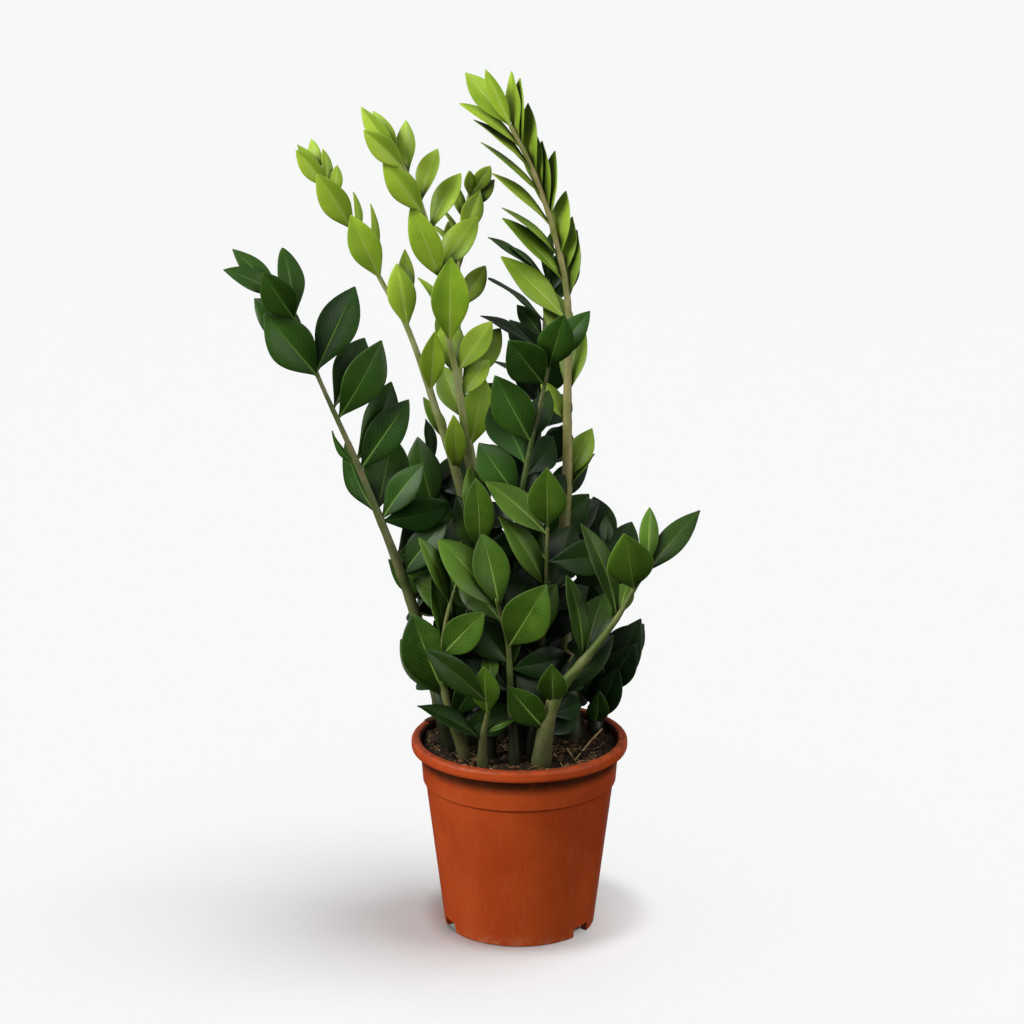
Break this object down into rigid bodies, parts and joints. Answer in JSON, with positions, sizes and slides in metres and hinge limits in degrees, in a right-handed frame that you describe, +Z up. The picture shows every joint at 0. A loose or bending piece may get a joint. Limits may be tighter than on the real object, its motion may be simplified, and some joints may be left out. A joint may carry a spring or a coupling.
{
  "type": "potted zz plant",
  "caption": "Free-standing houseplant: thick upright stalks with glossy oval leaflets, rising from soil in a round tapered nursery pot with a rolled rim.",
  "frame": {"origin": "centre of the flat pad in the middle of the pot's underside, on the surface the pot stands on", "axes": "+Z up along the pot's axis; the side seen in the picture faces -Y; +X is to the right in the picture"},
  "size_m": [0.3504, 0.2262, 0.6708],
  "materials": {
    "pot": "satin",
    "soil": "matte",
    "young_leaf": "satin",
    "leaf": "satin",
    "old_leaf": "gloss"
  },
  "bodies": {
    "root": {"pot": "pot", "soil": "soil", "frond_front_small": "leaf", "frond_front_left": "leaf", "frond_front_centre": "leaf", "frond_right_low": "leaf", "frond_mid_right": "leaf", "frond_mid_left": "leaf", "frond_far_left": "old_leaf", "frond_light_mid": "young_leaf", "frond_light_left": "young_leaf", "frond_tall_right": "young_leaf", "frond_light_short": "young_leaf", "frond_centre_dark": "old_leaf", "frond_back_dark": "old_leaf", "frond_right_back": "old_leaf", "frond_left_back": "old_leaf"}
  },
  "joints": []
}
